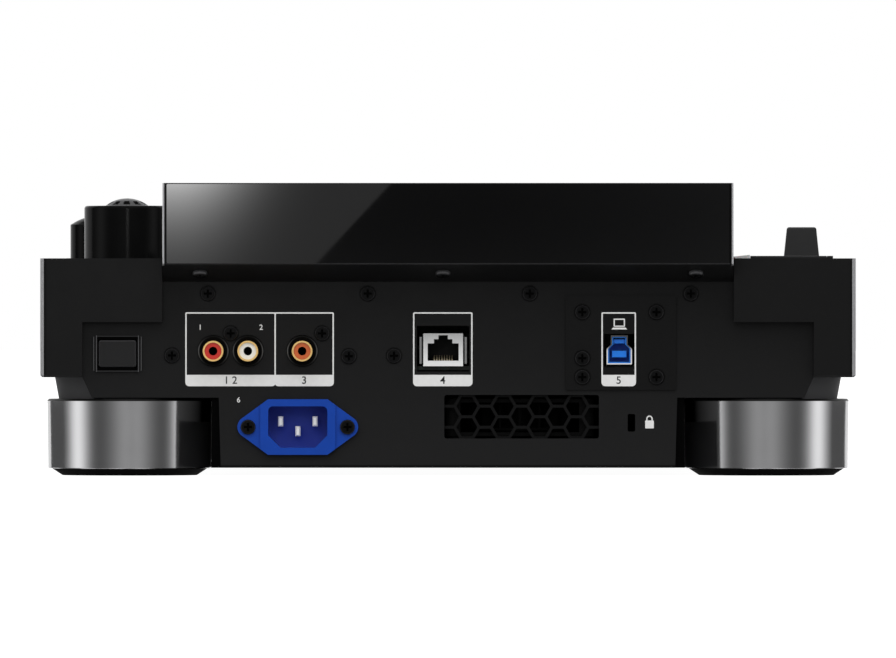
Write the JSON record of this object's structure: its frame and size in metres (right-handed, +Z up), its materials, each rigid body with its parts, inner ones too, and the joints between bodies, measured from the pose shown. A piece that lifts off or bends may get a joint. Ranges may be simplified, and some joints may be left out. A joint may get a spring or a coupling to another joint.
{
  "type": "tabletop media deck",
  "caption": "Flat black tabletop media deck on metal feet with a tilted display, jog wheel, deck keys, slot-in disc drive and a rear socket panel.",
  "frame": {"origin": "bottom centre of the whole deck, on the table", "axes": "+Z up, +Y out of the socket side, the user stands at -Y, +X is the user's right"},
  "size_m": [0.329, 0.453, 0.118],
  "materials": {
    "case_black": "fine matt moulded black",
    "deck_black": "satin black anodised deck",
    "chassis_black": "matt powder-coated sheet",
    "panel_black": "matt powder-coated sheet",
    "foot_metal": "turned and polished",
    "rubber": "matt",
    "screw_black": "black zinc",
    "gloss_black": "high gloss",
    "display_glass": "dark cover glass",
    "display_module": "matt",
    "jog_casting": "cast, blackened",
    "jog_platter": "spun and anodised dark",
    "jog_ring": "matt with finger dimples",
    "bearing_steel": "ground",
    "key_black": "satin",
    "key_metal": "satin ring keys",
    "knob_black": "satin",
    "light_guide": "frosted light guide",
    "socket_plastic": "matt",
    "gold": "gold plated",
    "jack_colour": "coloured insert",
    "socket_steel": "tin plated steel",
    "usb_blue": "blue plastic",
    "inlet_blue": "blue plastic",
    "board_green": "circuit board",
    "drive_steel": "galvanised sheet"
  },
  "bodies": {
    "root": {"upper_case": "case_black", "deck_plate": "deck_black", "bottom_chassis": "chassis_black", "rear_panel": "panel_black", "usb_cover_plate": "panel_black", "vent_grille": "chassis_black", "foot_shells": "foot_metal", "foot_pads": "rubber", "display_housing": "case_black", "display_back_cover": "gloss_black", "display_glass": "display_glass", "display_panel": "display_module", "jog_base": "jog_casting", "jog_bearing": "bearing_steel", "jog_display": "gloss_black", "jog_lens": "display_glass", "tempo_fader_body": "socket_plastic", "control_boards": "board_green", "media_sockets": "socket_plastic", "usb_light_strip": "light_guide", "power_switch_frame": "socket_plastic", "jack_block": "socket_plastic", "jack_shells": "gold", "jack_inserts": "jack_colour", "link_socket": "socket_steel", "link_contacts": "gold", "usb_b_socket": "socket_steel", "usb_b_tongue": "usb_blue", "ac_inlet": "inlet_blue", "ac_inlet_pins": "socket_steel", "screws": "screw_black", "main_board": "board_green", "power_supply_board": "board_green", "fan_frame": "socket_plastic", "drive_frame": "drive_steel", "slot_bezel": "case_black"},
    "jog_wheel": {"jog_platter": "jog_platter", "jog_ring": "jog_ring"},
    "fan": {"fan_rotor": "socket_plastic"},
    "turntable": {"drive_turntable": "socket_plastic"},
    "roller": {"loading_roller": "rubber"},
    "sled": {"pickup_sled": "socket_plastic"},
    "selector_stem": {"selector_shaft": "bearing_steel"},
    "selector": {"rotary_selector": "knob_black"},
    "jog_adjust": {"jog_adjust_knob": "knob_black"},
    "tempo": {"tempo_knob": "knob_black"},
    "lever": {"direction_lever": "key_black"},
    "door": {"usb_door": "case_black"},
    "power": {"power_button": "key_black"},
    "play": {"play_button": "key_metal"},
    "cue": {"cue_button": "key_metal"},
    "eject": {"eject_key": "key_black"},
    "search_back": {"search_back_key": "key_black"},
    "search_forward": {"search_forward_key": "key_black"},
    "track_back": {"track_back_key": "key_black"},
    "track_forward": {"track_forward_key": "key_black"},
    "hot_cues": {"hot_cue_keys": "key_black"},
    "loops": {"loop_keys": "key_black"},
    "tempo_bank": {"tempo_keys": "key_black"},
    "menu": {"menu_keys": "key_black"}
  },
  "joints": [
    {"name": "jog_turn", "type": "hinge", "parent": "root", "child": "jog_wheel", "pos_m": [0, -0.092, 0.09], "axis": [0, 0, 1], "continuous": true},
    {"name": "fan_spin", "type": "hinge", "parent": "root", "child": "fan", "pos_m": [-0.029, 0.174, 0.023], "axis": [0, 0, 1], "continuous": true},
    {"name": "turntable_spin", "type": "hinge", "parent": "root", "child": "turntable", "pos_m": [0, -0.145, 0.055], "axis": [0, 0, 1], "continuous": true},
    {"name": "roller_spin", "type": "hinge", "parent": "root", "child": "roller", "pos_m": [0, -0.212, 0.053], "axis": [1, 0, 0], "continuous": true},
    {"name": "sled_travel", "type": "slide", "parent": "root", "child": "sled", "axis": [0, 1, 0], "range_m": [0, 0.034]},
    {"name": "selector_push", "type": "slide", "parent": "root", "child": "selector_stem", "axis": [0, 0, -1], "range_m": [0, 0.0008], "stiffness_N_per_m": 2500, "springref_m": -0.0008},
    {"name": "selector_turn", "type": "hinge", "parent": "selector_stem", "child": "selector", "pos_m": [0.1324, 0.055, 0.1], "axis": [0, 0, 1], "continuous": true},
    {"name": "jog_adjust_turn", "type": "hinge", "parent": "root", "child": "jog_adjust", "pos_m": [0.1455, 0.02, 0.09], "axis": [0, 0, 1], "range_deg": [-140, 140]},
    {"name": "tempo_slide", "type": "slide", "parent": "root", "child": "tempo", "axis": [0, 1, 0], "range_m": [-0.05, 0.05]},
    {"name": "lever_tilt", "type": "hinge", "parent": "root", "child": "lever", "pos_m": [-0.1462, 0.036, 0.08], "axis": [1, 0, 0], "range_deg": [-14, 14]},
    {"name": "door_hinge", "type": "hinge", "parent": "root", "child": "door", "pos_m": [-0.1388, 0.2037, 0.0876], "axis": [-1, 0, 0], "range_deg": [0, 100]},
    {"name": "power_push", "type": "slide", "parent": "root", "child": "power", "axis": [0, -1, 0], "range_m": [0, 0.003], "stiffness_N_per_m": 600, "springref_m": -0.002},
    {"name": "play_push", "type": "slide", "parent": "root", "child": "play", "axis": [0, 0, -1], "range_m": [0, 0.0008], "stiffness_N_per_m": 1200, "springref_m": -0.0008},
    {"name": "cue_push", "type": "slide", "parent": "root", "child": "cue", "axis": [0, 0, -1], "range_m": [0, 0.0008], "stiffness_N_per_m": 1200, "springref_m": -0.0008},
    {"name": "eject_push", "type": "slide", "parent": "root", "child": "eject", "axis": [0, 0, -1], "range_m": [0, 0.0008], "stiffness_N_per_m": 1200, "springref_m": -0.0008},
    {"name": "search_back_push", "type": "slide", "parent": "root", "child": "search_back", "axis": [0, 0, -1], "range_m": [0, 0.0008], "stiffness_N_per_m": 1200, "springref_m": -0.0008},
    {"name": "search_forward_push", "type": "slide", "parent": "root", "child": "search_forward", "axis": [0, 0, -1], "range_m": [0, 0.0008], "stiffness_N_per_m": 1200, "springref_m": -0.0008},
    {"name": "track_back_push", "type": "slide", "parent": "root", "child": "track_back", "axis": [0, 0, -1], "range_m": [0, 0.0008], "stiffness_N_per_m": 1200, "springref_m": -0.0008},
    {"name": "track_forward_push", "type": "slide", "parent": "root", "child": "track_forward", "axis": [0, 0, -1], "range_m": [0, 0.0008], "stiffness_N_per_m": 1200, "springref_m": -0.0008},
    {"name": "hot_cue_push", "type": "slide", "parent": "root", "child": "hot_cues", "axis": [0, 0, -1], "range_m": [0, 0.0008], "stiffness_N_per_m": 2400, "springref_m": -0.0008},
    {"name": "loop_push", "type": "slide", "parent": "root", "child": "loops", "axis": [0, 0, -1], "range_m": [0, 0.0008], "stiffness_N_per_m": 2000, "springref_m": -0.0008},
    {"name": "tempo_key_push", "type": "slide", "parent": "root", "child": "tempo_bank", "axis": [0, 0, -1], "range_m": [0, 0.0008], "stiffness_N_per_m": 2000, "springref_m": -0.0008},
    {"name": "menu_push", "type": "slide", "parent": "root", "child": "menu", "axis": [0, 0.1797, -0.9837], "range_m": [0, 0.001], "stiffness_N_per_m": 2000, "springref_m": -0.0008}
  ]
}
